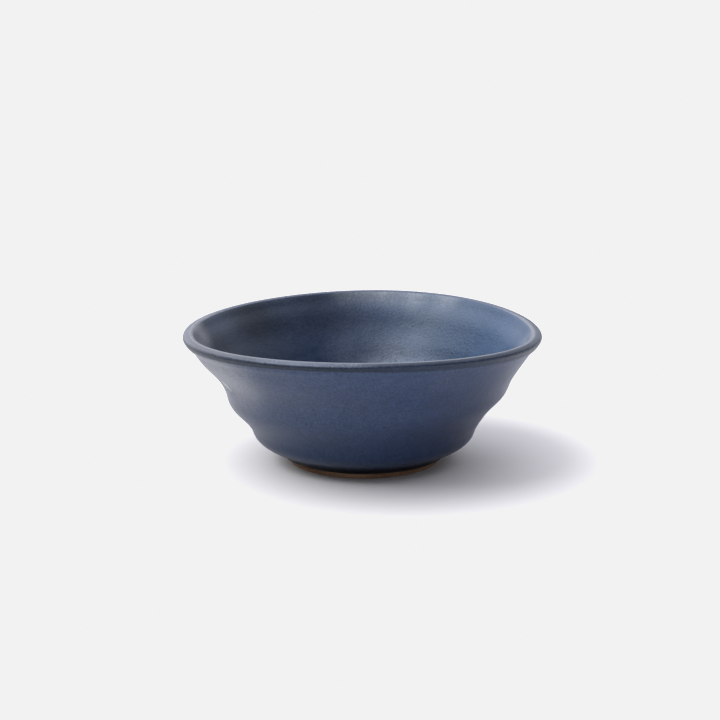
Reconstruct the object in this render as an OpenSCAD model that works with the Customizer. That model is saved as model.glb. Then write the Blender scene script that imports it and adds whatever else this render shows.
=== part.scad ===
// Hand-thrown stoneware prep bowl: a flared clay body on a low turned foot,
// with one coat of glaze poured inside and one dipped outside, meeting at the lip.
// The origin is the centre of the foot, on the surface that the bowl stands on.
// +Z is up, -Y is the front of the bowl and +X is its right-hand side.

/* [Bowl] */
// Width across the lip at its widest
rim_d = 160; // [130:1:200]
// Height of the lip at the two sides of the bowl
rim_h = 58.7; // [48:0.1:72]
// How much higher the lip stands at the front
front_rise = 3.9; // [0:0.1:6]
// How much higher the lip stands at the back
back_rise = 1.9; // [0:0.1:6]
// How far the back of the lip climbs from its left to its right
back_twist = 1.5; // [0:0.1:3]
// How far the lip's centre leans to the left of the foot's centre
lean = 0.8; // [0:0.1:2]

/* [Wall] */
// Thickness of the flared wall, with its glaze
wall_t = 4.6; // [3.6:0.1:6.4]
// Thickness of the floor at its centre, with its glaze
floor_t = 4.8; // [3.6:0.1:8]

/* [Lip] */
// Width of the rolled lip, from its inner edge to its widest point
lip_w = 4.7; // [3.6:0.1:6.4]
// Height of the rolled lip, from the wall's top to the lip's top
lip_h = 6.5; // [5:0.1:9]

/* [Foot] */
// Outside diameter of the turned foot
foot_d = 67; // [50:0.5:80]
// Height of the bare clay band that shows below the glaze
foot_h = 2.8; // [1:0.1:4]
// Width of the ring that touches the surface
foot_w = 4.6; // [3:0.1:8]
// Width of the bevels on the ring's two lower edges
foot_bevel = 0.4; // [0.2:0.1:0.8]
// How far the glaze stops short of the foot, underneath
glaze_gap = 0.4; // [0.2:0.1:1]

/* [Glaze] */
// Thickness of the fired glaze
glaze_t = 0.5; // [0.3:0.05:0.8]

/* [Throwing marks] */
// How far the broad ridge stands out of the wall
ridge_out = 2.6; // [0:0.1:3]
// How much higher the ridge runs on the right than at the front
ridge_slant = 3; // [0:0.1:5]
// How far the wall is pressed in on the left, above the ridge
hollow_in = 1.5; // [0:0.1:2]
// How far the wall flares out on the left, below the lip
flare_out = 0.7; // [0:0.1:1.5]

/* [Hidden] */

// Number of facets round the bowl, and of rows in each step of its outline
facets = 64;
steps = 2;
$fn = 96;

rim_r = rim_d / 2;
foot_r = foot_d / 2;
lip_r = rim_r - lip_w;
wall_top = rim_h - lip_h;
// The clay's flat underside, which is also the roof of the recess inside the foot
under_h = foot_h + glaze_t;
floor_top = under_h + floor_t;
// How far the foot's ring runs up into the clay, so that the two are one
foot_root = floor_t / 4;

// The outside, from the foot to the lip's root: shares of the way out and of the way up
wall_shares = [[0.06, 0], [0.14, 0.058], [0.28, 0.112], [0.365, 0.175], [0.415, 0.27],
    [0.51, 0.4], [0.64, 0.57], [0.82, 0.77], [0.963, 0.94]];
// The rolled lip, from its root over the top to its inner edge: shares of its width and height
lip_shares = [[0.14, 0], [0.43, 0.16], [0.74, 0.33], [0.94, 0.51], [1, 0.67], [0.91, 0.86],
    [0.56, 0.98], [0.17, 1], [0, 0.94]];
// The rounding inside the lip, below its inner edge, in the same shares
neck_shares = [[-0.2, 0.8], [-0.55, 0.5]];
// The inside below the hip, from the hip to the floor's centre: shares of the hip's
// radius and of its height above the floor
hollow_shares = [[0.94, 0.76], [0.81, 0.45], [0.62, 0.19], [0.4, 0.06], [0.18, 0.01], [0, 0]];
// Where the wall's thickness is measured at the hip, as shares of the way out and up,
// and how the wall leans there: its thickness runs this much inwards and this much up
hip_shares = [0.505, 0.4];
hip_normal_shares = [-0.82, 0.57];
// The inside slope above the hip: shares of the way up to the lip's inner edge, and how
// much thicker the wall is there, as shares of its thickness
slope_shares = [[0.75, 0.24], [0.5, 0.09], [0.25, 0]];

// Each throwing mark's height and half-breadth, as shares of the wall's height
ridge_shares = [0.53, 0.113];
press_shares = [0.755, 0.127];
flare_shares = [0.88, 0.105];
// How much of the ridge is left at the front and the back
ridge_front_share = 0.6;
// How much of the outside's marks shows on the inside
inside_share = 0.5;
// The turn from the right-hand side to the middle of the pressed-in side
pressed_side = 195;
// How late the lip's rise comes on the way up the wall: 1 would be evenly
climb = 1.5;
// How late it comes on the way round from a side to the front or the back
sweep = 1.6;

// A point between b and c on a smooth curve through a, b, c and d. The knots follow the
// square root of the distances, so that short and long stretches meet without a loop.
function between(a, b, c, d, t) = let (
    u = sqrt(norm(b - a)),
    v = sqrt(norm(c - b)),
    w = sqrt(norm(d - c)),
    leave = c - b + v * ((b - a) / u - (c - a) / (u + v)),
    arrive = c - b + v * ((d - c) / w - (d - b) / (v + w)))
    b + leave * t + (3 * (c - b) - 2 * leave - arrive) * t * t
        + (2 * (b - c) + leave + arrive) * t * t * t;

// A smooth curve through all the points of a list
function curve(points) = let (last = len(points) - 1) [
    for (i = [0 : last - 1], k = [0 : steps - 1]) let (
        before = i == 0 ? 2 * points[0] - points[1] : points[i - 1],
        after = i + 1 == last ? 2 * points[last] - points[i] : points[i + 2])
        between(before, points[i], points[i + 1], after, k / steps),
    points[last]];

// The section's named points, each as [radius, height]
glaze_edge = [foot_r + glaze_gap, foot_h];
wall_from = [foot_r, foot_h];
wall_reach = [lip_r - foot_r, wall_top - foot_h];
hip = [for (i = [0, 1]) wall_from[i] + hip_shares[i] * wall_reach[i]
    + hip_normal_shares[i] * wall_t];

wall_points = [for (s = wall_shares)
    [for (i = [0, 1]) wall_from[i] + s[i] * wall_reach[i]]];
lip_points = [for (s = lip_shares) [lip_r + s.x * lip_w, wall_top + s.y * lip_h]];
neck_points = [for (s = neck_shares) [lip_r + s.x * lip_w, wall_top + s.y * lip_h]];
slope_reach = lip_points[len(lip_points) - 1] - hip;
slope_points = [for (s = slope_shares)
    hip + s.x * slope_reach + s.y * wall_t * hip_normal_shares];
hollow_points = [for (s = hollow_shares) [s.x * hip.x, floor_top + s.y * (hip.y - floor_top)]];

outside_points = concat([glaze_edge], wall_points, lip_points);
inside_points = concat(neck_points, slope_points, [hip], hollow_points);

// The whole section, with the row where the two glazes meet
section = curve(concat(outside_points, inside_points));
seam = (len(outside_points) - 1) * steps;
centre = len(section) - 1;

// The way from a row of the section straight out of the clay, one unit long
function way_out(i) = let (
    along = section[min(i + 1, centre)] - section[max(i - 1, 0)])
    [along.y, -along.x] / norm(along);

// The clay's own section lies one coat of glaze below the glazed one
clay_section = [for (i = [0 : centre]) section[i] - glaze_t * way_out(i)];

// A soft bump: 1 in the middle, and close to 0 two half-breadths away
function bump(distance, half) = exp(-pow(distance / half, 2));

// How far the throwing marks move the wall out, at a height and a turn round the bowl
function marks(height, turn) = let (
    share = (height - foot_h) / wall_reach.y,
    left = pow((1 + cos(turn - pressed_side)) / 2, 2),
    slant = ridge_slant / wall_reach.y * cos(turn),
    kept = ridge_front_share + (1 - ridge_front_share) * pow(cos(turn), 2))
    kept * ridge_out * bump(share - ridge_shares[0] - slant, ridge_shares[1])
        - left * hollow_in * bump(share - press_shares[0], press_shares[1])
        + left * flare_out * bump(share - flare_shares[0], flare_shares[1]);

// How much the lip stands above its height at the sides
function rise(turn) = pow(abs(sin(turn)), sweep)
    * (sin(turn) < 0 ? front_rise : back_rise + back_twist * cos(turn));

// A row of points round the bowl, from one point of a section
function row(point, amount) = let (
    up = max(0, point.y - under_h) / (rim_h - under_h))
    [for (j = [0 : facets - 1]) let (
        turn = j * 360 / facets,
        radius = point.x + amount * marks(point.y, turn))
        [radius * cos(turn) - lean * up, radius * sin(turn),
            point.y + rise(turn) * pow(up, climb)]];

// The point that closes the floor at the centre
function pole(point) = [-lean * (point.y - under_h) / (rim_h - under_h), 0, point.y];

// All the rows of a section from one row to another
function rows(points, from, to) = [for (i = [from : to])
    row(points[i], i > seam ? inside_share : 1)];

// The triangles between two neighbouring rows of a net, seen from the side that they face
function band(i, k) = [for (j = [0 : facets - 1]) let (
    next = (j + 1) % facets,
    a = i * facets + j,
    b = i * facets + next,
    c = k * facets + j,
    d = k * facets + next)
    each [[a, c, d], [a, d, b]]];

// The triangles from a row to one point at its centre
function fan(i, tip) = [for (j = [0 : facets - 1])
    [i * facets + j, tip, i * facets + (j + 1) % facets]];

// Puts a list of rows end to end
function flat(lists) = [for (list = lists) each list];

// The outline of the foot's ring, bevelled where it meets the surface
module foot_section() {
    inner = foot_r - foot_w;
    polygon([
        [inner, foot_bevel],
        [inner + foot_bevel, 0],
        [foot_r - foot_bevel, 0],
        [foot_r, foot_bevel],
        [foot_r, under_h + foot_root],
        [inner, under_h + foot_root]
    ]);
}

// The fired clay: floor, flared wall and rolled lip in one, on the turned foot
module clay_body() {
    net = rows(clay_section, 0, centre - 1);
    tip = len(net) * facets;
    color("tan") union() {
        polyhedron(
            points = concat(flat(net), [pole(clay_section[centre])]),
            faces = concat(
                [[for (j = [0 : facets - 1]) j]],
                [for (i = [0 : len(net) - 2]) each band(i, i + 1)],
                fan(len(net) - 1, tip)),
            convexity = 6);
        rotate_extrude() foot_section();
    }
}

// The dipped coat, from just outside the foot up over the lip to its inner edge
module outside_glaze() {
    skin = rows(section, 0, seam);
    back = rows(clay_section, 0, seam);
    n = len(skin);
    color("darkslateblue") polyhedron(
        points = flat(concat(skin, back)),
        faces = concat(
            [for (i = [0 : n - 2]) each band(i, i + 1)],
            [for (i = [0 : n - 2]) each band(n + i + 1, n + i)],
            band(n, 0),
            band(n - 1, 2 * n - 1)),
        convexity = 6);
}

// The poured coat, from the lip's inner edge down to the middle of the floor
module inside_glaze() {
    skin = rows(section, seam, centre - 1);
    back = rows(clay_section, seam, centre - 1);
    n = len(skin);
    tip = 2 * n * facets;
    color("steelblue") polyhedron(
        points = concat(flat(concat(skin, back)),
            [pole(section[centre]), pole(clay_section[centre])]),
        faces = concat(
            [for (i = [0 : n - 2]) each band(i, i + 1)],
            [for (i = [0 : n - 2]) each band(n + i + 1, n + i)],
            band(n, 0),
            fan(n - 1, tip),
            [for (f = fan(2 * n - 1, tip + 1)) [f[2], f[1], f[0]]]),
        convexity = 6);
}

clay_body();
outside_glaze();
inside_glaze();
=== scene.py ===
# %% [markdown]
# This lesson dresses a hand-thrown prep bowl. The real bowl is one piece of stoneware under a satin
# blue glaze: the clay shows only as a thin brown band at the foot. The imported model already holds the
# clay and the two coats of glaze as solids, so we load it first and keep its box, because nothing
# that we make may change the bowl's size.

import math
from collections import namedtuple

import bpy
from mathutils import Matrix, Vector


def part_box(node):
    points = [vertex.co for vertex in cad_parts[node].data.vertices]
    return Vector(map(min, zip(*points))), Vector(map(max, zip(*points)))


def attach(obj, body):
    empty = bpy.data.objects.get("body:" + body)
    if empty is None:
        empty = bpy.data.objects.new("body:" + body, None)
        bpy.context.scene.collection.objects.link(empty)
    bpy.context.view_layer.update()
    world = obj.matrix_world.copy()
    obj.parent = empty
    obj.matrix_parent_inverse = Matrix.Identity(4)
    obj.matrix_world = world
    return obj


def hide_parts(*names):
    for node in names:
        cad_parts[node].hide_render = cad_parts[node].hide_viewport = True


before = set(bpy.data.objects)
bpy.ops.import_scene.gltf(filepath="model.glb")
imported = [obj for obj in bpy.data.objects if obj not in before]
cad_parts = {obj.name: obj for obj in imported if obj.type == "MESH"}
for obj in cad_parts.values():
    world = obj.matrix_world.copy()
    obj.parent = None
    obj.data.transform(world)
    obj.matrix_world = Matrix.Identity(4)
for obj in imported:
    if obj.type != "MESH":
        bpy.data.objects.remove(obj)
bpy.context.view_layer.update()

# %% [markdown]
# A photograph of a small object is best matched by a real camera's numbers: how far away it stands,
# how far it looks down and how long its lens is. The bowl was photographed from about a metre away
# with a long lens, looking down by some 14 degrees. We could also pose the camera by eye, but a named
# distance, height and tilt can be checked against the bowl's outline.

# %% Set up the camera
MM = 0.001
IMAGE_PX = 720
FOCAL_PX = 2307.2
CAMERA_AT = (-1.85 * MM, -1.0, 0.291)
CAMERA_TILT = 13.81

camera = bpy.data.objects.new("camera", bpy.data.cameras.new("camera"))
bpy.context.scene.collection.objects.link(camera)
camera.data.sensor_width = 36
camera.data.lens = camera.data.sensor_width * FOCAL_PX / IMAGE_PX
camera.location = CAMERA_AT
camera.rotation_euler = (math.radians(90 - CAMERA_TILT), 0, 0)
bpy.context.scene.camera = camera
print(f"Lens {camera.data.lens:.1f} mm, looking down by {CAMERA_TILT} degrees")

# %% [markdown]
# The bowl stands on white paper that runs on far behind it. In a product photograph such paper is
# lit past what the picture can hold, so it comes out as one flat pale grey and only the shadow has
# any shape. We give the scene's colours a curve that levels off at that grey, as the photograph's
# own processing did. A darker floor would do without the curve, but then the floor would send less
# light up into the glaze, and every soft shadow round the bowl would show.

# %% Let the white paper level off
PAPER_WHITE = 0.888
CURVE_END = 4.0

colours = bpy.context.scene.view_settings
colours.view_transform = "Standard"
colours.use_curve_mapping = True
mapping = colours.curve_mapping
mapping.clip_max_x = CURVE_END
mapping.extend = "HORIZONTAL"
tone = mapping.curves[3]
tone.points[1].location = (PAPER_WHITE, PAPER_WHITE)
tone.points.new(CURVE_END, PAPER_WHITE)
for point in tone.points:
    point.handle_type = "VECTOR"
mapping.update()
print("Scene-linear brightness levels off at", PAPER_WHITE)

# %% [markdown]
# The paper itself is a plain white sheet, large enough that the camera never sees its edge. It is
# part of the stage and not of the bowl.

# %% Lay the paper
PAPER_SIDE = 14.0
PAPER_ALBEDO = 0.85


def new_material(name):
    """A material with nodes, and its main shader."""
    material = bpy.data.materials.new(name)
    material.use_nodes = True
    return material, material.node_tree.nodes["Principled BSDF"]


half_side = PAPER_SIDE / 2
paper_mesh = bpy.data.meshes.new("paper")
paper_mesh.from_pydata(
    [(-half_side, -half_side, 0), (half_side, -half_side, 0),
     (half_side, half_side, 0), (-half_side, half_side, 0)], [], [(0, 1, 2, 3)])
paper = bpy.data.objects.new("paper", paper_mesh)
bpy.context.scene.collection.objects.link(paper)
paper_material, paper_shader = new_material("white_paper")
paper_shader.inputs["Base Color"].default_value = (PAPER_ALBEDO, PAPER_ALBEDO, PAPER_ALBEDO, 1)
paper_shader.inputs["Roughness"].default_value = 1
paper_shader.inputs["Specular IOR Level"].default_value = 0
paper_mesh.materials.append(paper_material)
print("Paper:", PAPER_SIDE, "m square")

# %% [markdown]
# Many formulas follow, for the bowl's shape and for its glaze. In Blender a formula is a net of
# nodes, and a net of a hundred Math nodes is hard to read. So we write a small class: a Field holds
# one output of a node, and adding or multiplying fields makes the Math nodes for us.

# %% A field is a number that each point works out for itself
class Field:
    """One output of a node, with Python's own arithmetic."""

    def __init__(self, tree, socket):
        self.tree = tree
        self.socket = socket

    def worked(self, operation, *others):
        """The output of a Math node that takes this field first."""
        node = self.tree.nodes.new("ShaderNodeMath")
        node.operation = operation
        for place, value in zip(node.inputs, (self, *others)):
            feed(place, value)
        return Field(self.tree, node.outputs[0])

    def __add__(self, other):
        return self.worked("ADD", other)

    def __sub__(self, other):
        return self.worked("SUBTRACT", other)

    def __mul__(self, other):
        return self.worked("MULTIPLY", other)

    def __truediv__(self, other):
        return self.worked("DIVIDE", other)

    def __pow__(self, other):
        return self.worked("POWER", other)

    def __neg__(self):
        return self * -1

    def __rsub__(self, other):
        return -self + other

    __radd__ = __add__
    __rmul__ = __mul__


def feed(place, value):
    """Puts a field, a socket or a plain value into a node's input."""
    if isinstance(value, Field):
        value.tree.links.new(value.socket, place)
    elif isinstance(value, bpy.types.NodeSocket):
        value.id_data.links.new(value, place)
    else:
        place.default_value = value


def add_node(tree, kind, inputs=None, **settings):
    """A new node with its settings made and its inputs fed."""
    node = tree.nodes.new(kind)
    for setting, value in settings.items():
        setattr(node, setting, value)
    for title, value in (inputs or {}).items():
        feed(node.inputs[title], value)
    return node


def bump(distance, half):
    """1 in the middle, and close to 0 two half-breadths away."""
    share = distance / half
    return (-(share * share)).worked("EXPONENT")


def facing(turn, side, sharpness):
    """1 on one side of the bowl, 0 on the other, and narrower the sharper it is."""
    return (((turn - side).worked("COSINE") + 1) / 2) ** sharpness


print("Fields are ready")

# %% [markdown]
# The shadow tells where the light is. It falls to the right, its edge is very soft, and it starts
# close to the bowl, so the main light is a large softbox high up on the left. A sun with a wide disc
# lights the whole sheet evenly, which a softbox close by would not. Each light here has a turn and a
# height in degrees, and a power. A turn counts from the bowl's right-hand side, anticlockwise.

# %% Hang the softbox
Light = namedtuple("Light", "name turn high power")

KEY = Light("softbox", 184, 54, 2.35)
KEY_WIDTH = 54.0


def towards(light):
    """The direction in which a light stands, turned from the bowl's right-hand side."""
    turn, high = math.radians(light.turn), math.radians(light.high)
    return Vector((math.cos(turn) * math.cos(high), math.sin(turn) * math.cos(high), math.sin(high)))


key = bpy.data.objects.new(KEY.name, bpy.data.lights.new(KEY.name, "SUN"))
bpy.context.scene.collection.objects.link(key)
key.data.angle = math.radians(KEY_WIDTH)
key.data.energy = KEY.power
key.rotation_mode = "QUATERNION"
key.rotation_quaternion = towards(KEY).to_track_quat("Z", "Y")
print("Light comes from", [round(part, 2) for part in towards(KEY)])

# %% [markdown]
# The rest of the light comes from the white walls and panels of the room. Most of it stands behind
# the bowl, which is why the bowl's front is so dark. Each panel here is a soft glow of the
# background: brightest in one direction and fading evenly all round it. Area lamps would do too, but
# a satin glaze would then mirror their hard edges.

# %% Fill the room with light
GLOW_TINT = (0.99, 0.975, 1.04, 1)
GLOW_FOCUS = 7.0
GLOWS = (
    Light("behind on the right", 44, 58, 1.6),
    Light("behind on the left", 126, 30, 1.9),
    Light("straight behind", 90, 30, 0.6),
    Light("in front on the left", 240, 58, 1.5),
    Light("low in front", 300, 8, 0.24),
    Light("on the right", 8, 28, 0.22),
)

world = bpy.data.worlds.new("white_room")
world.use_nodes = True
bpy.context.scene.world = world
look = add_node(world.node_tree, "ShaderNodeTexCoord").outputs["Generated"]
brightness = None
for glow in GLOWS:
    aligned = add_node(world.node_tree, "ShaderNodeVectorMath", operation="DOT_PRODUCT")
    feed(aligned.inputs[0], look)
    feed(aligned.inputs[1], towards(glow))
    away = Field(world.node_tree, aligned.outputs["Value"]) - 1
    light = (away * GLOW_FOCUS).worked("EXPONENT") * glow.power
    brightness = light if brightness is None else brightness + light
    print("Glow", glow.name, glow.power)
background = world.node_tree.nodes["Background"]
feed(background.inputs["Color"], GLOW_TINT)
feed(background.inputs["Strength"], brightness)

# %% [markdown]
# The glaze is the bowl's main finish: a satin, nearly matt blue that breaks to grey and a little
# brown where it lies thin, and goes almost black where it pools above the foot. One flat blue
# would look like plastic. So the colour is mixed from noise at four sizes: broad drifts of brown,
# clouds as wide as a thumb, a mottle of a few millimetres and a grain as fine as sand. All of it
# reads the object's own coordinates, so that it stays on the bowl from every side.

# %% Mix colours by noise
def noise(tree, place, scale, detail=2.0, roughness=0.5, seed=0.0):
    """Noise between 0 and 1 at a place, with so many waves in a metre."""
    node = add_node(
        tree, "ShaderNodeTexNoise",
        {"Vector": place, "W": seed, "Scale": scale, "Detail": detail, "Roughness": roughness},
        noise_dimensions="4D")
    return Field(tree, node.outputs["Fac"])


def between_limits(field, low, high):
    """0 at the low limit, 1 at the high one, and smooth in between."""
    node = add_node(
        field.tree, "ShaderNodeMapRange",
        {"Value": field, "From Min": low, "From Max": high}, interpolation_type="SMOOTHSTEP")
    return Field(field.tree, node.outputs["Result"])


def mixed(tree, share, first, second):
    """One colour where the share is 0 and the other where it is 1."""
    node = add_node(tree, "ShaderNodeMix", {"Factor": share}, data_type="RGBA")
    feed(node.inputs[6], first)
    feed(node.inputs[7], second)
    return node.outputs[2]


print("Noise mixers are ready")

# %% [markdown]
# Light and shade are painted into the glaze here, as soft areas of colour. The pale ones are painted
# highlights and reflections: round the rim's inside, most of all at the back, on the inside's back
# wall and right, and on the outside's left, where the softbox falls. Three small ones outside paint
# the highlight on the upper edge of the short crease in the wall. The dark ones are painted shade, on
# the inside's left and back and the outside's lower right, and three of them also shine less. They
# also pass for glaze that ran thin or lay thick, as a dipped and poured glaze never lies evenly. Each
# area has a place in millimetres, a reach in millimetres, a colour and the share of the shine that is
# left. An image could be painted instead, but these areas need no unwrapping and stay smooth from
# close by.

# %% Painted highlights and shade in the glaze
Patch = namedtuple("Patch", "at reach colour shine", defaults=(1.0,))

# Painted light outside: pale highlights on the left and the crease, painted shade low on the right.
OUTSIDE_PAINTED_LIGHT = (
    Patch((-78, -14, 42), 42, (0.070, 0.068, 0.086, 1)),
    Patch((-58, -44, 49), 27, (0.125, 0.130, 0.150, 1)),
    Patch((-60.8, -28.0, 41.6), 2.8, (0.40, 0.41, 0.44, 1)),
    Patch((-59.6, -29.0, 40.4), 2.6, (0.36, 0.37, 0.40, 1)),
    Patch((-58.6, -29.3, 39.2), 2.2, (0.28, 0.29, 0.32, 1)),
    Patch((52, -34, 22), 54, (0.004, 0.012, 0.046, 1), 0.85),
)
# Painted light inside: highlights and reflections round the back, painted shade on the left.
INSIDE_PAINTED_LIGHT = (
    Patch((66, 22, 46), 46, (0.017, 0.050, 0.110, 1)),
    Patch((30, 62, 52), 30, (0.036, 0.044, 0.068, 1)),
    Patch((-26, 69, 56), 32, (0.008, 0.012, 0.026, 1), 0.7),
    Patch((-9, 76, 60), 11, (0.080, 0.086, 0.100, 1)),
    Patch((0, 77, 61), 13, (0.110, 0.118, 0.133, 1)),
    Patch((11, 77, 61), 13, (0.190, 0.197, 0.214, 1)),
    Patch((25, 74, 60), 13, (0.200, 0.208, 0.225, 1)),
    Patch((41, 67, 60), 13, (0.170, 0.178, 0.200, 1)),
    Patch((77, -8, 57), 17, (0.100, 0.125, 0.170, 1)),
    Patch((15, 49, 24), 27, (0.215, 0.248, 0.305, 1)),
    Patch((42, 53, 41), 15, (0.008, 0.022, 0.058, 1)),
    Patch((-9, 58, 34), 13, (0.035, 0.046, 0.080, 1)),
    Patch((-50, 10, 38), 52, (0.011, 0.015, 0.026, 1)),
    Patch((-52, 50, 54), 26, (0.003, 0.004, 0.008, 1), 0.55),
    Patch((-78, 8, 57), 15, (0.190, 0.200, 0.225, 1)),
    Patch((-74, -8, 50), 24, (0.096, 0.105, 0.124, 1)),
)
print(len(OUTSIDE_PAINTED_LIGHT), "patches outside and", len(INSIDE_PAINTED_LIGHT), "inside")

# %% [markdown]
# Both coats are the same glaze, so one recipe makes both materials, and a coat is only a set of
# values: its blue, the greyer blue and the brown that it breaks to, the tint of its shine, how much
# the shine sparkles, and its areas of painted highlight and shade. Each coat also has its own seed, as
# no two dips mottle alike.

# %% The two coats
Coat = namedtuple("Coat", "blue grey_blue brown tint sparkle seed patches")

OUTSIDE = Coat(
    blue=(0.010, 0.023, 0.070, 1), grey_blue=(0.017, 0.028, 0.064, 1),
    brown=(0.022, 0.020, 0.032, 1), tint=(0.64, 0.79, 1.0, 1),
    sparkle=1.1, seed=1.0, patches=OUTSIDE_PAINTED_LIGHT)
INSIDE = Coat(
    blue=(0.006, 0.018, 0.056, 1), grey_blue=(0.018, 0.024, 0.050, 1),
    brown=(0.028, 0.022, 0.026, 1), tint=(0.56, 0.75, 1.0, 1),
    sparkle=0.3, seed=4.0, patches=INSIDE_PAINTED_LIGHT)
print("Coats with seeds", OUTSIDE.seed, "and", INSIDE.seed)

# %% [markdown]
# Everything in the recipe asks the same questions of a point: where is it, how far to the left is it,
# and what do the noises say there? So the answers are worked out once and kept together as a spot.
# Each noise has its waves in a metre, its detail and its roughness.

# %% What the recipe knows of a point
CLOUDS, MOTTLE, GRAIN, IRON = (34, 3, 0.55), (210, 4, 0.6), (1000, 2, 0.7), (17, 2, 0.5)
IRON_SEED_ON = 5
RIM_REACH = 80 * MM

Spot = namedtuple("Spot", "tree place x y z leftward clouds mottle grain iron")


def glaze_spot(tree, seed):
    """Where a point of the glaze lies, and the patterns that run through it."""
    place = add_node(tree, "ShaderNodeTexCoord").outputs["Object"]
    apart = add_node(tree, "ShaderNodeSeparateXYZ", {"Vector": place})
    x, y, z = (Field(tree, apart.outputs[axis]) for axis in "XYZ")
    return Spot(
        tree, place, x, y, z, -x / RIM_REACH, noise(tree, place, *CLOUDS, seed),
        noise(tree, place, *MOTTLE, seed), noise(tree, place, *GRAIN, seed),
        noise(tree, place, *IRON, seed + IRON_SEED_ON))


print("A spot holds", ", ".join(Spot._fields))

# %% [markdown]
# The plain coat comes first. It breaks to grey and to a little brown by the noises, and rather more
# on the left. Its shine fades towards the foot, because the glaze ran thick there and fired nearly
# matt. The painted highlights and shade then go over both.

# %% The plain coat, and painted light and shade over it
LEFT_GREYER = 0.1
CLOUD_SHARE = 0.6
GREY_LIMITS = (0.36, 0.66)
BROWN_LIMITS = (0.5, 0.8)
BROWN_AT_MOST = 0.6
FOOT_SHINE, FOOT_GAIN, BELLY_GAIN = 0.25, 0.4, 0.35
MATT_FOOT = (3 * MM, 12 * MM)
DULL_BELLY = (0, 34 * MM)
PATCH_RAGGED = 16 * MM
PATCH_RAGGED_SHARE = 0.5


def plain_colour(spot, coat):
    """Blue that breaks to grey and brown by the noises, and more so on the left."""
    greyness = (spot.clouds * CLOUD_SHARE + spot.mottle * (1 - CLOUD_SHARE)
                + spot.leftward * LEFT_GREYER)
    colour = mixed(spot.tree, between_limits(greyness, *GREY_LIMITS), coat.blue, coat.grey_blue)
    brownness = between_limits(spot.iron + spot.leftward * LEFT_GREYER, *BROWN_LIMITS)
    return mixed(spot.tree, brownness * BROWN_AT_MOST, colour, coat.brown)


def plain_shine(spot):
    """A quarter of the shine at the foot, and all of it from half-way up."""
    return (between_limits(spot.z, *MATT_FOOT) * FOOT_GAIN
            + between_limits(spot.z, *DULL_BELLY) * BELLY_GAIN + FOOT_SHINE)


def with_painted_light(spot, coat, colour, shine):
    """The colour and the shine, with the coat's painted highlights and shade over them."""
    for patch in coat.patches:
        reach = patch.reach * MM
        away = add_node(spot.tree, "ShaderNodeVectorMath", operation="DISTANCE")
        feed(away.inputs[0], spot.place)
        feed(away.inputs[1], Vector(patch.at) * MM)
        ragged_by = min(PATCH_RAGGED, reach * PATCH_RAGGED_SHARE)
        ragged = Field(spot.tree, away.outputs["Value"]) + (spot.clouds - 0.5) * ragged_by
        share = between_limits(ragged, reach, 0)
        colour = mixed(spot.tree, share, colour, patch.colour)
        if patch.shine < 1:
            shine = shine * (1 - share * (1 - patch.shine))
    return colour, shine


print("Plain coat: the shine is full above", DULL_BELLY[1] / MM, "mm")

# %% [markdown]
# The lip carries painted light and shade in three bands: a painted highlight along the crest, the
# outer face, and painted shade on the underside of the roll. They also pass for glaze that thinned
# over the crest and gathered under the roll. Plain heights would not do, because the lip rises at the
# front and the back and leans to the left. The bands take the shape's lean and nearly its rise, and
# so they stay on the lip all round.

# %% Find the lip's three bands
LIP_LEAN = 0.8 * MM
LIP_FRONT_RISE, LIP_BACK_RISE = 3.9 * MM, 1.9 * MM
LIP_STARTS = (54.8 * MM, 55.6 * MM)
FACE_STARTS = (57.3 * MM, 57.8 * MM)
CREST_ENDS = (76.3 * MM, 77.5 * MM)


def lip_bands(spot, wider, lower):
    """Three shares: how far a point lies on the lip's outer face, its underside and its crest."""
    x = spot.x + LIP_LEAN
    from_axis = (x * x + spot.y * spot.y) ** 0.5
    sine = spot.y / from_axis
    at_front = spot.y.worked("LESS_THAN", 0.0)
    level = spot.z - sine * sine * (at_front * LIP_FRONT_RISE + (1 - at_front) * LIP_BACK_RISE)
    lip = between_limits(level + lower, *LIP_STARTS)
    top = between_limits(level, *FACE_STARTS)
    outer = between_limits(from_axis - wider, *CREST_ENDS)
    return lip * top * outer, lip * (1 - top), lip * top * (1 - outer)


print("The outer face starts", FACE_STARTS[0] / MM, "mm up")

# %% [markdown]
# The bands aren't the same all round. The outer face gets a painted highlight at the two ends and
# left of the middle, and painted shade elsewhere, and the crest's painted highlight is fainter at the
# back. On the right of the front the underside's painted shade reaches a little lower. Left and right
# are shares of the rim's reach, from -1 to 1.

# %% Paint light and shade on the lip
FRONT_HALF = (-5 * MM, 35 * MM)
BACK_PART = (-20 * MM, -50 * MM)
RIGHT_SIDE, FAR_RIGHT, LEFT_SIDE = (-0.25, 0.4), (0.7, 0.95), (0, 0.6)
FAR_RIGHT_LESS = 0.6
BOTH_ENDS, FACE_HIGHLIGHT_STARTS, FACE_HIGHLIGHT_ENDS = (0.86, 1), (-0.1, 0.15), (0.65, 0.35)
# Painted shade for the lip's underside and outer face, and painted highlights for the face and crest.
LIP_SHADE_COLOUR = (0.016, 0.022, 0.034, 1)
LIP_HIGHLIGHT_COLOUR = (0.068, 0.080, 0.104, 1)
CREST_HIGHLIGHT_COLOUR = (0.112, 0.125, 0.150, 1)
CREST_WIDER = 0.3 * MM
CREST_FAINTER = 0.7
UNDERSIDE_LOWER = 0.5 * MM
FACE_HIGHLIGHT_STRENGTH = 1.7
FACE_COVER, UNDER_COVER, UNDER_COVER_LESS = 0.8, 0.95, 0.2
UNDER_DULLER, UNDER_DULLER_LESS = 0.8, 0.3
FACE_DULLER, FACE_DULLER_MORE = 0.1, 0.6


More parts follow.
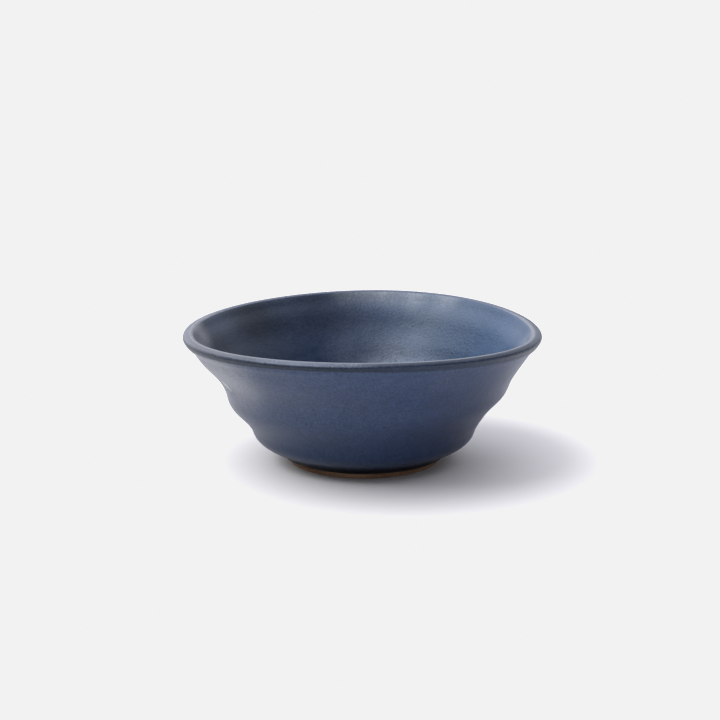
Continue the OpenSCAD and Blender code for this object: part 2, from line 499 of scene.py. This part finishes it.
def with_lip(spot, colour, shine):
    """The colour and the shine of the outside coat, with the lip's painted highlights and shade over
    them.
    """
    rightward = -spot.leftward
    forward = -spot.y
    right = between_limits(rightward, *RIGHT_SIDE)
    right = right - FAR_RIGHT_LESS * between_limits(rightward, *FAR_RIGHT)
    right = right * between_limits(forward, *FRONT_HALF)
    left = between_limits(spot.leftward, *LEFT_SIDE)
    face, under, crest = lip_bands(spot, CREST_WIDER * (left + right), UNDERSIDE_LOWER * right)
    middle = between_limits(spot.leftward, *FACE_HIGHLIGHT_STARTS) * between_limits(spot.leftward, *FACE_HIGHLIGHT_ENDS)
    face_highlight = between_limits(spot.leftward.worked("ABSOLUTE"), *BOTH_ENDS) + FACE_HIGHLIGHT_STRENGTH * middle
    band_colour = mixed(spot.tree, face * face_highlight, LIP_SHADE_COLOUR, LIP_HIGHLIGHT_COLOUR)
    cover = face * FACE_COVER + under * (UNDER_COVER - UNDER_COVER_LESS * right)
    colour = mixed(spot.tree, cover, colour, band_colour)
    fainter = 1 - CREST_FAINTER * between_limits(forward, *BACK_PART)
    colour = mixed(spot.tree, crest * fainter, colour, CREST_HIGHLIGHT_COLOUR)
    duller = (under * (UNDER_DULLER - UNDER_DULLER_LESS * right)
              + face * (FACE_DULLER + FACE_DULLER_MORE * right))
    return colour, shine * (1 - duller)


print("The crest is up to", CREST_WIDER / MM, "mm wider towards the sides")

# %% [markdown]
# Now the whole recipe. The colour ends nearly black just above the foot: painted shade where the
# wall turns under towards the paper, which also passes for glaze that pooled there. Then the mottle
# and the grain make it lighter and darker, and it is darker low down, a painted shade on the lower
# wall. The shine has a blue tint, because light also comes back from a little way inside a satin
# glaze, and it sparkles with the grain. Roughness and a very fine relief follow the same noises, so a
# grain that is lighter is also a little proud.

# %% The satin blue glaze
# Painted shade just above the foot, nearly black, which also stands for pooled glaze.
POOLED_AND_SHADED = (0.003, 0.002, 0.004, 1)
POOL_AND_SHADE_LIMITS = (7.4 * MM, 4.4 * MM)
LOW_SHADE_LIMITS = (0, 50 * MM)
LOW_LIMITS, LEFT_LIMITS = (8 * MM, 42 * MM), (0.2, 1.0)
LOW_TINT = (0.44, 0.64, 1.0, 1)
LEFT_TINT = (0.78, 0.87, 1.0, 1)
LOW_SHADE_LIGHTNESS, HIGH_UP_LIGHTER = 0.65, 0.5
MOTTLE_LIGHT, GRAIN_LIGHT, LEAST_LIGHT = 0.8, 1.8, -0.3
MOTTLE_ROUGH, GRAIN_ROUGH = 0.12, 0.2
GLAZE_ROUGHNESS = 0.39
GLAZE_SHINE = 0.72
GLAZE_RELIEF, GLAZE_RELIEF_STRENGTH = 0.2 * MM, 0.8


def outside_tint(spot, coat):
    """The tint of the outside coat's shine: bluer low down and paler on the left."""
    tint = mixed(spot.tree, between_limits(spot.z, *LOW_LIMITS), LOW_TINT, coat.tint)
    return mixed(spot.tree, between_limits(spot.leftward, *LEFT_LIMITS), tint, LEFT_TINT)


def glaze_material(name, coat):
    """The finished material of one coat."""
    material, shader = new_material(name)
    spot = glaze_spot(material.node_tree, coat.seed)
    colour, shine = with_painted_light(spot, coat, plain_colour(spot, coat), plain_shine(spot))
    tint = coat.tint
    if coat is OUTSIDE:
        colour, shine = with_lip(spot, colour, shine)
        tint = outside_tint(spot, coat)
    colour = mixed(spot.tree, between_limits(spot.z, *POOL_AND_SHADE_LIMITS), colour, POOLED_AND_SHADED)
    light = spot.mottle * MOTTLE_LIGHT + spot.grain * GRAIN_LIGHT + LEAST_LIGHT
    # Painted shade: the colour is darker low down and lightens up to 50 mm.
    light = light * (between_limits(spot.z, *LOW_SHADE_LIMITS) * HIGH_UP_LIGHTER + LOW_SHADE_LIGHTNESS)
    lightness = add_node(
        spot.tree, "ShaderNodeHueSaturation", {"Color": colour, "Value": light})
    roughness = (spot.mottle * MOTTLE_ROUGH + spot.grain * GRAIN_ROUGH
                 + (GLAZE_ROUGHNESS - (MOTTLE_ROUGH + GRAIN_ROUGH) / 2))
    sparkle = spot.grain * coat.sparkle + 1 - coat.sparkle / 2
    relief = add_node(
        spot.tree, "ShaderNodeBump",
        {"Strength": GLAZE_RELIEF_STRENGTH, "Distance": GLAZE_RELIEF,
         "Height": spot.grain + spot.mottle})
    feed(shader.inputs["Base Color"], lightness.outputs["Color"])
    feed(shader.inputs["Specular IOR Level"], shine * sparkle * GLAZE_SHINE)
    feed(shader.inputs["Specular Tint"], tint)
    feed(shader.inputs["Roughness"], roughness)
    feed(shader.inputs["Normal"], relief.outputs["Normal"])
    return material


dipped_blue = glaze_material("satin_blue_dipped", OUTSIDE)
poured_blue = glaze_material("satin_blue_poured", INSIDE)
for glaze in (dipped_blue, poured_blue):
    print(glaze.name, len(glaze.node_tree.nodes), "nodes")

# %% [markdown]
# The bare clay at the foot is toasted brown stoneware with coarser grains of fired sand in it. It is
# quite matt. Its grain comes from two noises, and dark specks come from the cells of a Voronoi
# pattern, which lie apart as real specks do.

# %% The bare stoneware
CLAY_BROWN = (0.26, 0.135, 0.068, 1)
CLAY_PALE = (0.40, 0.25, 0.15, 1)
CLAY_SPECK = (0.04, 0.022, 0.014, 1)
TOAST, TOAST_SEED = (60, 3, 0.5), 2.0
SAND, SAND_SEED = (1800, 3, 0.6), 3.0
TOAST_SHARE = 0.6
PALE_LIMITS = (0.35, 0.65)
SPECKS_PER_M = 700
SPECK_LIMITS = (0.22, 0.12)
SPECK_STRENGTH = 0.7
CLAY_ROUGHNESS = 0.85
CLAY_RELIEF, CLAY_RELIEF_STRENGTH = 0.15 * MM, 0.6


def clay_material(name):
    """Toasted stoneware with sand and dark specks in it."""
    material, shader = new_material(name)
    tree = material.node_tree
    place = add_node(tree, "ShaderNodeTexCoord").outputs["Object"]
    toast = noise(tree, place, *TOAST, TOAST_SEED)
    sand = noise(tree, place, *SAND, SAND_SEED)
    cells = add_node(tree, "ShaderNodeTexVoronoi", {"Vector": place, "Scale": SPECKS_PER_M})
    specks = between_limits(Field(tree, cells.outputs["Distance"]), *SPECK_LIMITS)
    paleness = between_limits(toast * TOAST_SHARE + sand * (1 - TOAST_SHARE), *PALE_LIMITS)
    colour = mixed(tree, paleness, CLAY_BROWN, CLAY_PALE)
    colour = mixed(tree, specks * SPECK_STRENGTH, colour, CLAY_SPECK)
    feed(shader.inputs["Base Color"], colour)
    shader.inputs["Roughness"].default_value = CLAY_ROUGHNESS
    relief = add_node(
        tree, "ShaderNodeBump",
        {"Strength": CLAY_RELIEF_STRENGTH, "Distance": CLAY_RELIEF, "Height": sand - specks})
    feed(shader.inputs["Normal"], relief.outputs["Normal"])
    return material


bare_clay = clay_material("bare_stoneware")
print("Clay:", bare_clay.name)

# %% [markdown]
# Now the shape. A thrown bowl is a section turned round an axis, so we need the section first: from
# the foot up the flared wall, over the rolled lip and down the inside to the middle of the floor.
# Its sizes are the bowl's own, and the width comes from the frame. The named points are shares of
# those sizes, so the whole section would follow if the bowl were made wider or taller.

# %% The bowl's sizes
glaze_low, glaze_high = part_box("outside_glaze")
RIM_R = (glaze_high.x - glaze_low.x) / 2
RIM_H = 58.7 * MM
WALL_T = 4.6 * MM
FLOOR_T = 4.8 * MM
LIP_W = 4.7 * MM
LIP_H = 6.5 * MM
FOOT_R = 33.5 * MM
FOOT_H = 2.8 * MM
FOOT_W = 4.6 * MM
FOOT_BEVEL = 0.4 * MM
GLAZE_GAP = 0.4 * MM
GLAZE_T = 0.5 * MM

LIP_R = RIM_R - LIP_W
WALL_TOP = RIM_H - LIP_H
UNDER_H = FOOT_H + GLAZE_T
FLOOR_TOP = UNDER_H + FLOOR_T
print(f"Rim {RIM_R / MM:.2f} mm in radius, floor {FLOOR_TOP / MM:.1f} mm above the surface")

# %% [markdown]
# A potter's curve has no corners, so we run a smooth curve through the named points. Blender's own
# Catmull-Rom spline would do, but it makes small loops where a short stretch meets a long one. This
# one sets its knots by the square root of each distance, which keeps it clean round the tight lip.

# %% A smooth curve through points
def on_curve(a, b, c, d, t):
    """A point between b and c on a smooth curve through a, b, c and d."""
    u = math.sqrt((b - a).length)
    v = math.sqrt((c - b).length)
    w = math.sqrt((d - c).length)
    leave = c - b + v * ((b - a) / u - (c - a) / (u + v))
    arrive = c - b + v * ((d - c) / w - (d - b) / (v + w))
    return (b + leave * t + (3 * (c - b) - 2 * leave - arrive) * t * t
            + (2 * (b - c) + leave + arrive) * t * t * t)


def curve(points, spacing):
    """Rows along the curve, about one spacing apart, and the row at which each point falls."""
    padded = [2 * points[0] - points[1], *points, 2 * points[-1] - points[-2]]
    rows, marks = [], []
    for a, b, c, d in zip(padded, padded[1:], padded[2:], padded[3:]):
        steps = max(2, math.ceil((c - b).length / spacing(b)))
        marks.append(len(rows))
        rows += [on_curve(a, b, c, d, k / steps) for k in range(steps)]
    return rows + [points[-1]], marks + [len(rows)]


print("The curve is ready")

# %% [markdown]
# These are the section's named points. The outside starts just beyond the foot, where the glaze
# ends, and the inside starts at the lip's inner edge. Rows lie closer together round the lip, where
# the curve is tight.

# %% The section's points
WALL_SHARES = ((0.06, 0), (0.14, 0.058), (0.28, 0.112), (0.365, 0.175), (0.415, 0.27),
               (0.51, 0.4), (0.64, 0.57), (0.82, 0.77), (0.963, 0.94))
LIP_SHARES = ((0.14, 0), (0.43, 0.16), (0.74, 0.33), (0.94, 0.51), (1, 0.67), (0.91, 0.86),
              (0.56, 0.98), (0.17, 1), (0, 0.94))
NECK_SHARES = ((-0.2, 0.8), (-0.55, 0.5))
HOLLOW_SHARES = ((0.94, 0.76), (0.81, 0.45), (0.62, 0.19), (0.4, 0.06), (0.18, 0.01), (0, 0))
HIP_SHARES = Vector((0.505, 0.4))
HIP_NORMAL_SHARES = Vector((-0.82, 0.57))
SLOPE_SHARES = ((0.75, 0.24), (0.5, 0.09), (0.25, 0))
ROW_GAP = 0.8 * MM
LIP_ROW_GAP = 0.3 * MM

wall_from = Vector((FOOT_R, FOOT_H))
wall_reach = Vector((LIP_R - FOOT_R, WALL_TOP - FOOT_H))
lip_from = Vector((LIP_R, WALL_TOP))
lip_reach = Vector((LIP_W, LIP_H))
hip = wall_from + HIP_SHARES * wall_reach + HIP_NORMAL_SHARES * WALL_T
hollow_reach = Vector((hip.x, hip.y - FLOOR_TOP))

glaze_edge = Vector((FOOT_R + GLAZE_GAP, FOOT_H))
wall_points = [wall_from + Vector(share) * wall_reach for share in WALL_SHARES]
lip_points = [lip_from + Vector(share) * lip_reach for share in LIP_SHARES]
neck_points = [lip_from + Vector(share) * lip_reach for share in NECK_SHARES]
slope_points = [hip.lerp(lip_points[-1], share) + thicker * WALL_T * HIP_NORMAL_SHARES
                for share, thicker in SLOPE_SHARES]
hollow_points = [Vector((0, FLOOR_TOP)) + Vector(share) * hollow_reach for share in HOLLOW_SHARES]

outside_points = [glaze_edge, *wall_points, *lip_points]
all_points = [*outside_points, *neck_points, *slope_points, hip, *hollow_points]
skin, marks_on_skin = curve(
    all_points, lambda point: LIP_ROW_GAP if point.y > WALL_TOP and point.x > LIP_R else ROW_GAP)
seam = marks_on_skin[len(outside_points) - 1]
print(f"{len(skin)} rows in the section, of which {seam + 1} outside")

# %% [markdown]
# The clay lies one coat of glaze below that skin. Then each piece's own outline is a walk along
# those rows: the dipped coat goes up its skin and back along the clay, the poured coat comes out
# from the floor's centre under its skin and returns over it, and the clay starts under the foot.
# Each row also carries how far it follows the throwing marks, as the inside follows them by half.

# %% The rows of each piece
INSIDE_SHARE = 0.5
BEAD_STEPS = 6
Row = namedtuple("Row", "point follow inside")


def way_out(i):
    """The way from a row of the skin straight out of the bowl."""
    along = skin[min(i + 1, len(skin) - 1)] - skin[max(i - 1, 0)]
    return Vector((along.y, -along.x)).normalized()


def skin_row(i, depth=0.0):
    """A row of the skin, or the row that lies so deep under it."""
    follow = INSIDE_SHARE if i > seam else 1.0
    return Row(skin[i] - depth * way_out(i), follow, float(i > seam))


def clay_row(i):
    """The row of the clay under a row of the skin."""
    return skin_row(i, GLAZE_T)


def arc(centre, radius, start, end, steps):
    """Points round part of a circle, from one angle in degrees to another."""
    turns = [math.radians(start + (end - start) * k / steps) for k in range(steps + 1)]
    return [centre + radius * Vector((math.cos(turn), math.sin(turn))) for turn in turns]


last = len(skin) - 1
bead_centre = (skin_row(0).point + clay_row(0).point) / 2
bead = [Row(point, 1.0, 0.0) for point in arc(bead_centre, GLAZE_T / 2, 90, 270, BEAD_STEPS)[1:-1]]
dipped_rows = ([skin_row(i) for i in range(seam + 1)]
               + [clay_row(i) for i in range(seam, -1, -1)] + bead + [skin_row(0)])
poured_rows = ([clay_row(i) for i in range(last, seam - 1, -1)]
               + [skin_row(i) for i in range(seam, last + 1)])
print(f"Dipped coat {len(dipped_rows)} rows, poured coat {len(poured_rows)} rows")

# %% [markdown]
# The foot is turned with a trimming tool after the bowl has dried a little. The tool leaves fine
# rings in the hollow under the bowl and a shallow groove round the foot's side, and the potter
# sponges the ring's two edges round. We draw them in the section, so that they are real shape and
# not only shading. Above the foot the clay never shows, so it keeps only every second row there.

# %% The rows of the turned foot
TOOL_PITCH = 2.4 * MM
TOOL_DEPTH = 0.12 * MM
TOOL_ROW_GAP = 0.4 * MM
FILLET = 0.5 * MM
FILLET_STEPS, BEVEL_STEPS = 4, 5
GROOVE_DEPTH = 0.25 * MM
GROOVE_SHARES = ((0.2, 0), (0.32, 0.7), (0.42, 1), (0.52, 0.7), (0.64, 0), (1, 0))
CLAY_STEP = 2

inner_r = FOOT_R - FOOT_W
recess_r = inner_r - FILLET
recess_steps = math.floor(recess_r / TOOL_ROW_GAP)
recess = []
for k in range(recess_steps + 1):
    r = recess_r * k / recess_steps
    cut = TOOL_DEPTH * (1 - math.cos(math.tau * r / TOOL_PITCH)) / 2
    recess.append(Vector((r, UNDER_H + cut * min(1, (recess_r - r) / TOOL_PITCH))))
foot_points = (
    recess
    + arc(Vector((recess_r, UNDER_H - FILLET)), FILLET, 90, 0, FILLET_STEPS)[1:]
    + arc(Vector((inner_r + FOOT_BEVEL, FOOT_BEVEL)), FOOT_BEVEL, 180, 270, BEVEL_STEPS)
    + arc(Vector((FOOT_R - FOOT_BEVEL, FOOT_BEVEL)), FOOT_BEVEL, 270, 360, BEVEL_STEPS)
    + [Vector((FOOT_R - GROOVE_DEPTH * deep, FOOT_BEVEL + (FOOT_H - FOOT_BEVEL) * high))
       for high, deep in GROOVE_SHARES]
    + [Vector((FOOT_R, UNDER_H))])
clay_rows = [Row(point, 1.0, 0.0) for point in foot_points]
clay_rows += [clay_row(i) for i in range(0, last, CLAY_STEP)] + [clay_row(last)]
print(f"Clay {len(clay_rows)} rows, {len(foot_points)} of them at the foot")

# %% [markdown]
# Turning a section is a rule, so Geometry Nodes do it. The tree takes the section's rows as a line
# of points, makes a grid with one column for each step round the bowl, and moves every point of the
# grid to its row's radius and its column's turn. Curve to Mesh could sweep the section too, but
# then a point would not know its own turn, which the throwing marks need. The tree's inputs are the
# sizes of the bowl and its marks. A height or half-breadth with no unit is a share of the wall's
# height, or of the lip's for the thinner roll and neck.

# %% Start the tree with its named inputs
DEGREE = math.pi / 180
TREE_INPUTS = {
    "Facets": 360,
    "Seed": 3.0,
    "Foot Height": FOOT_H,
    "Wall Height": wall_reach.y,
    "Under Height": UNDER_H,
    "Wall Top": WALL_TOP,
    "Rim Height": RIM_H,
    "Ridge Out": 2.6 * MM,
    "Ridge Height": 0.53,
    "Ridge Half": 0.113,
    "Ridge Slant": 3.0 * MM,
    "Ridge Front": 0.6,
    "Pressed Side": 195 * DEGREE,
    "Press Sharpness": 2.0,
    "Press In": 1.5 * MM,
    "Press Height": 0.755,
    "Press Half": 0.127,
    "Flare Out": 0.7 * MM,
    "Flare Height": 0.88,
    "Flare Half": 0.105,
    "Front Rise": LIP_FRONT_RISE,
    "Back Rise": LIP_BACK_RISE,
    "Back Twist": 1.5 * MM,
    "Sweep": 1.6,
    "Climb": 1.5,
    "Lean": LIP_LEAN,
    "Crease Out": 0.6 * MM,
    "Crease Height": 39.2 * MM,
    "Crease Half": 0.8 * MM,
    "Crease Side": 204 * DEGREE,
    "Crease Sharpness": 900.0,
    "Crease Slant": 44.0 * MM,
    "Crease Dip": 0.5,
    "Roll Thinner": 1.8 * MM,
    "Roll Height": 0.52,
    "Neck Thinner": 0.8 * MM,
    "Neck Height": 0.28,
    "Thinner Half": 0.2,
    "Thinner Side": 275 * DEGREE,
    "Thinner Sharpness": 3.0,
    "Ring Depth": 0.01 * MM,
    "Ring Pitch": 5.2 * MM,
    "Wobble": 0.12 * MM,
    "Wobble Scale": 26.0,
}


def start_tree(name, inputs):
    """An empty tree that takes a section, the given sizes and a material."""
    tree = bpy.data.node_groups.new(name, "GeometryNodeTree")
    tree.interface.new_socket("Section", in_out="INPUT", socket_type="NodeSocketGeometry")
    for title, value in inputs.items():
        kind = "NodeSocketInt" if isinstance(value, int) else "NodeSocketFloat"
        tree.interface.new_socket(title, in_out="INPUT", socket_type=kind)
    tree.interface.new_socket("Material", in_out="INPUT", socket_type="NodeSocketMaterial")
    tree.interface.new_socket("Bowl", in_out="OUTPUT", socket_type="NodeSocketGeometry")
    return tree


bowl_tree = start_tree("turn_a_section", TREE_INPUTS)
entry = bowl_tree.nodes.new("NodeGroupInput")
given = {title: Field(bowl_tree, entry.outputs[title]) for title in TREE_INPUTS}
print(len(given), "named sizes go into the tree")

# %% [markdown]
# First comes the grid. Its points are numbered column by column within each row, so a point's number
# gives both its row and its column. Sample Index then fetches the row's radius, its height, and the
# two numbers that say how far it follows the marks.

# %% The grid, and each point's row and turn
section = entry.outputs["Section"]
row_count = add_node(bowl_tree, "GeometryNodeAttributeDomainSize", {"Geometry": section})
columns = given["Facets"] + 1
grid = add_node(
    bowl_tree, "GeometryNodeMeshGrid",
    {"Vertices X": row_count.outputs["Point Count"], "Vertices Y": columns})
number = Field(bowl_tree, add_node(bowl_tree, "GeometryNodeInputIndex").outputs["Index"])
row = (number / columns).worked("FLOOR")
turn = (number - row * columns) * math.tau / given["Facets"]


def of_row(value, data_type):
    """What the section holds at this point's row."""
    node = add_node(bowl_tree, "GeometryNodeSampleIndex", data_type=data_type)
    feed(node.inputs["Geometry"], section)
    feed(node.inputs["Value"], value)
    feed(node.inputs["Index"], row)
    return node.outputs["Value"]


def row_number(title):
    """A number that each row of the section carries."""
    named = add_node(
        bowl_tree, "GeometryNodeInputNamedAttribute", {"Name": title}, data_type="FLOAT")
    return Field(bowl_tree, of_row(named.outputs["Attribute"], "FLOAT"))


own_place = add_node(bowl_tree, "GeometryNodeInputPosition").outputs["Position"]
row_place = add_node(
    bowl_tree, "ShaderNodeSeparateXYZ", {"Vector": of_row(own_place, "FLOAT_VECTOR")})
radius = Field(bowl_tree, row_place.outputs["X"])
height = Field(bowl_tree, row_place.outputs["Z"])
follow = row_number("follow")
inside = row_number("inside")
across, forth = turn.worked("COSINE"), turn.worked("SINE")
print("Each point knows its radius, height and turn")

# %% [markdown]
# A thrown wall is never a plain cone. The potter's knuckle left one broad ridge that climbs a little
# on its way round, and the wall was pressed in on the left when it was lifted off the wheel, so that
# it flares above that place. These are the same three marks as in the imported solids.

# %% The broad throwing marks
share_up = (height - given["Foot Height"]) / given["Wall Height"]
slant = given["Ridge Slant"] / given["Wall Height"] * across
kept = given["Ridge Front"] + (1 - given["Ridge Front"]) * across * across
ridge = kept * given["Ridge Out"] * bump(share_up - given["Ridge Height"] - slant, given["Ridge Half"])
pressed = facing(turn, given["Pressed Side"], given["Press Sharpness"])
press = pressed * given["Press In"] * bump(share_up - given["Press Height"], given["Press Half"])
flare = pressed * given["Flare Out"] * bump(share_up - given["Flare Height"], given["Flare Half"])
broad_marks = (ridge - press + flare) * follow
print("Ridge, press and flare are in")

# %% [markdown]
# Finer marks are left to this mesh, which has enough faces for them. High up on the left is a short
# crease: a low ridge that slants down towards the front, with a dip below it. And the roll of the lip
# was squeezed thinner at the front, together with its neck, so that the bands there are narrow.

# %% The crease, and the lip's thinner front
past_crease = (turn - given["Crease Side"]).worked("SINE")
crease_height = given["Crease Height"] - given["Crease Slant"] * past_crease
above_crease = height - crease_height
crease_half = given["Crease Half"]
crease_dip = given["Crease Dip"] * bump(above_crease + crease_half * 2, crease_half)
crease = (given["Crease Out"] * (bump(above_crease, crease_half) - crease_dip)
          * facing(turn, given["Crease Side"], given["Crease Sharpness"]) * (1 - inside))
lip_share = (height - given["Wall Top"]) / (given["Rim Height"] - given["Wall Top"])
thinner_half = given["Thinner Half"]
thinner = facing(turn, given["Thinner Side"], given["Thinner Sharpness"]) * (1 - inside) * (
    given["Roll Thinner"] * bump(lip_share - given["Roll Height"], thinner_half)
    + given["Neck Thinner"] * bump(lip_share - given["Neck Height"], thinner_half))
print("The crease and the thinner front are in")

# %% [markdown]
# Fingers leave faint rings all the way up, and no hand avoids a slow unevenness. Both only ever go
# inwards, so that the bowl stays inside its own box, and both fade out on the foot, which a tool
# turned true.

# %% The rings and the unevenness
ON_WALL_STEEP = 4.0
WOBBLE_DETAIL, WOBBLE_ROUGHNESS = 1.0, 0.4

spiral = height / given["Ring Pitch"] * math.tau + turn
rings = given["Ring Depth"] * (spiral.worked("COSINE") - 1)
round_place = add_node(
    bowl_tree, "ShaderNodeCombineXYZ",
    {"X": radius * across, "Y": radius * forth, "Z": height}).outputs["Vector"]
unevenness = noise(
    bowl_tree, round_place, given["Wobble Scale"], WOBBLE_DETAIL, WOBBLE_ROUGHNESS, given["Seed"])
wobble = given["Wobble"] * (unevenness - 1)
on_wall = (radius / FOOT_R - 1) * ON_WALL_STEEP
on_wall.socket.node.use_clamp = True
print("Rings and unevenness are in")

# %% [markdown]
# Fingertips also pressed a few soft dents into the inside of the back wall, where the light picks
# them out. Each has a turn in degrees and a sharpness, and then its height, half its breadth and its
# depth in millimetres, so a loop can add them all. A negative depth is a low swelling.

# %% The soft dents inside
Dent = namedtuple("Dent", "turn sharpness height half depth")
DENTS = (
    Dent(96, 60, 45, 7, 0.5),
    Dent(80, 60, 37, 6, -0.4),
    Dent(64, 60, 47, 7, 0.35),
)
dents = None
for dent in DENTS:
    pushed = (bump(height - dent.height * MM, dent.half * MM)
              * facing(turn, dent.turn * DEGREE, dent.sharpness) * (dent.depth * MM))
    dents = pushed if dents is None else dents + pushed
fine_marks = crease - thinner + (rings + wobble) * on_wall + dents * inside
print(len(DENTS), "dents are in")

# %% [markdown]
# The lip isn't level: it stands higher at the front and the back than at the sides, and its centre
# leans a little to the left. Both grow on the way up, and the foot stays flat.

# %% The lip's rise and lean, and the point's place
way_up = ((height - given["Under Height"]) / (given["Rim Height"] - given["Under Height"])
          ).worked("MAXIMUM", 0.0)
at_front = forth.worked("LESS_THAN", 0.0)
crest = (at_front * given["Front Rise"]
         + (1 - at_front) * (given["Back Rise"] + given["Back Twist"] * across))
rise = forth.worked("ABSOLUTE") ** given["Sweep"] * crest * way_up ** given["Climb"]
moved_radius = radius + broad_marks + fine_marks
final_place = add_node(
    bowl_tree, "ShaderNodeCombineXYZ",
    {"X": moved_radius * across - given["Lean"] * way_up,
     "Y": moved_radius * forth,
     "Z": height + rise})
print("The rim rises and leans")

# %% [markdown]
# The grid's two ends and its poles lie on top of each other now. Merge by Distance closes them, Flip
# Faces points the faces outwards, and edges sharper than a threshold stay crisp, so that the cut end
# of a coat doesn't smear its shading into the skin. The tree ends in Realize Instances and Set
# Material.

# %% Close the mesh and give it its material
WELD = 0.002 * MM
CRISP = 38 * DEGREE

placed = add_node(
    bowl_tree, "GeometryNodeSetPosition",
    {"Geometry": grid.outputs["Mesh"], "Position": final_place.outputs["Vector"]})
welded = add_node(
    bowl_tree, "GeometryNodeMergeByDistance",
    {"Geometry": placed.outputs["Geometry"], "Distance": WELD})
outwards = add_node(bowl_tree, "GeometryNodeFlipFaces", {"Mesh": welded.outputs["Geometry"]})
smooth = add_node(
    bowl_tree, "GeometryNodeSetShadeSmooth", {"Geometry": outwards.outputs["Mesh"]}, domain="FACE")
edge_angle = Field(
    bowl_tree, add_node(bowl_tree, "GeometryNodeInputMeshEdgeAngle").outputs["Unsigned Angle"])
crisp = add_node(
    bowl_tree, "GeometryNodeSetShadeSmooth",
    {"Geometry": smooth.outputs["Geometry"], "Selection": edge_angle.worked("GREATER_THAN", CRISP),
     "Shade Smooth": False}, domain="EDGE")
real = add_node(
    bowl_tree, "GeometryNodeRealizeInstances", {"Geometry": crisp.outputs["Geometry"]})
finished = add_node(
    bowl_tree, "GeometryNodeSetMaterial",
    {"Geometry": real.outputs["Geometry"], "Material": entry.outputs["Material"]})
leave = bowl_tree.nodes.new("NodeGroupOutput")
feed(leave.inputs["Bowl"], finished.outputs["Geometry"])
print(len(bowl_tree.nodes), "nodes in the tree")

# %% [markdown]
# Each piece starts as the line of its rows. The modifier's inputs are set by their identifiers
# before Blender first works the object out. Then the result is kept as a plain mesh and the modifier
# goes, because the frame wants ordinary meshes.

# %% Turn a section into a piece
def section_line(name, rows):
    """An object that holds a section's rows as a line of points."""
    mesh = bpy.data.meshes.new(name)
    mesh.from_pydata(
        [(row.point.x, 0, row.point.y) for row in rows],
        [(i, i + 1) for i in range(len(rows) - 1)], [])
    for title in ("follow", "inside"):
        layer = mesh.attributes.new(title, "FLOAT", "POINT")
        layer.data.foreach_set("value", [getattr(row, title) for row in rows])
    piece = bpy.data.objects.new(name, mesh)
    bpy.context.scene.collection.objects.link(piece)
    return piece


def turned(name, rows, material):
    """A piece of the bowl, turned from its rows by the tree."""
    piece = section_line(name, rows)
    modifier = piece.modifiers.new("turning", "NODES")
    modifier.node_group = bowl_tree
    values = {**TREE_INPUTS, "Material": material}
    for item in bowl_tree.interface.items_tree:
        if item.in_out == "INPUT" and item.name in values:
            modifier[item.identifier] = values[item.name]
    worked_out = piece.evaluated_get(bpy.context.evaluated_depsgraph_get())
    line, piece.data = piece.data, bpy.data.meshes.new_from_object(worked_out)
    piece.modifiers.clear()
    bpy.data.meshes.remove(line)
    piece.data.name = name
    return piece


clay = turned("stoneware_body", clay_rows, bare_clay)
dipped = turned("dipped_glaze", dipped_rows, dipped_blue)
poured = turned("poured_glaze", poured_rows, poured_blue)
for piece in (clay, dipped, poured):
    print(piece.name, len(piece.data.vertices), "points", len(piece.data.polygons), "faces")

# %% [markdown]
# Last, the pieces take their places in the frame. Each stands for its solid, which is hidden, and
# rides on the bowl's one body.

# %% Hand the pieces to the frame
BODY = "root"
for piece, node_name, slot_name in (
        (clay, "clay_body", "bare_stoneware"),
        (dipped, "outside_glaze", "blue_glaze_outside"),
        (poured, "inside_glaze", "blue_glaze_inside")):
    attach(piece, BODY)
    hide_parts(node_name)
    print(piece.name, "stands for", node_name)
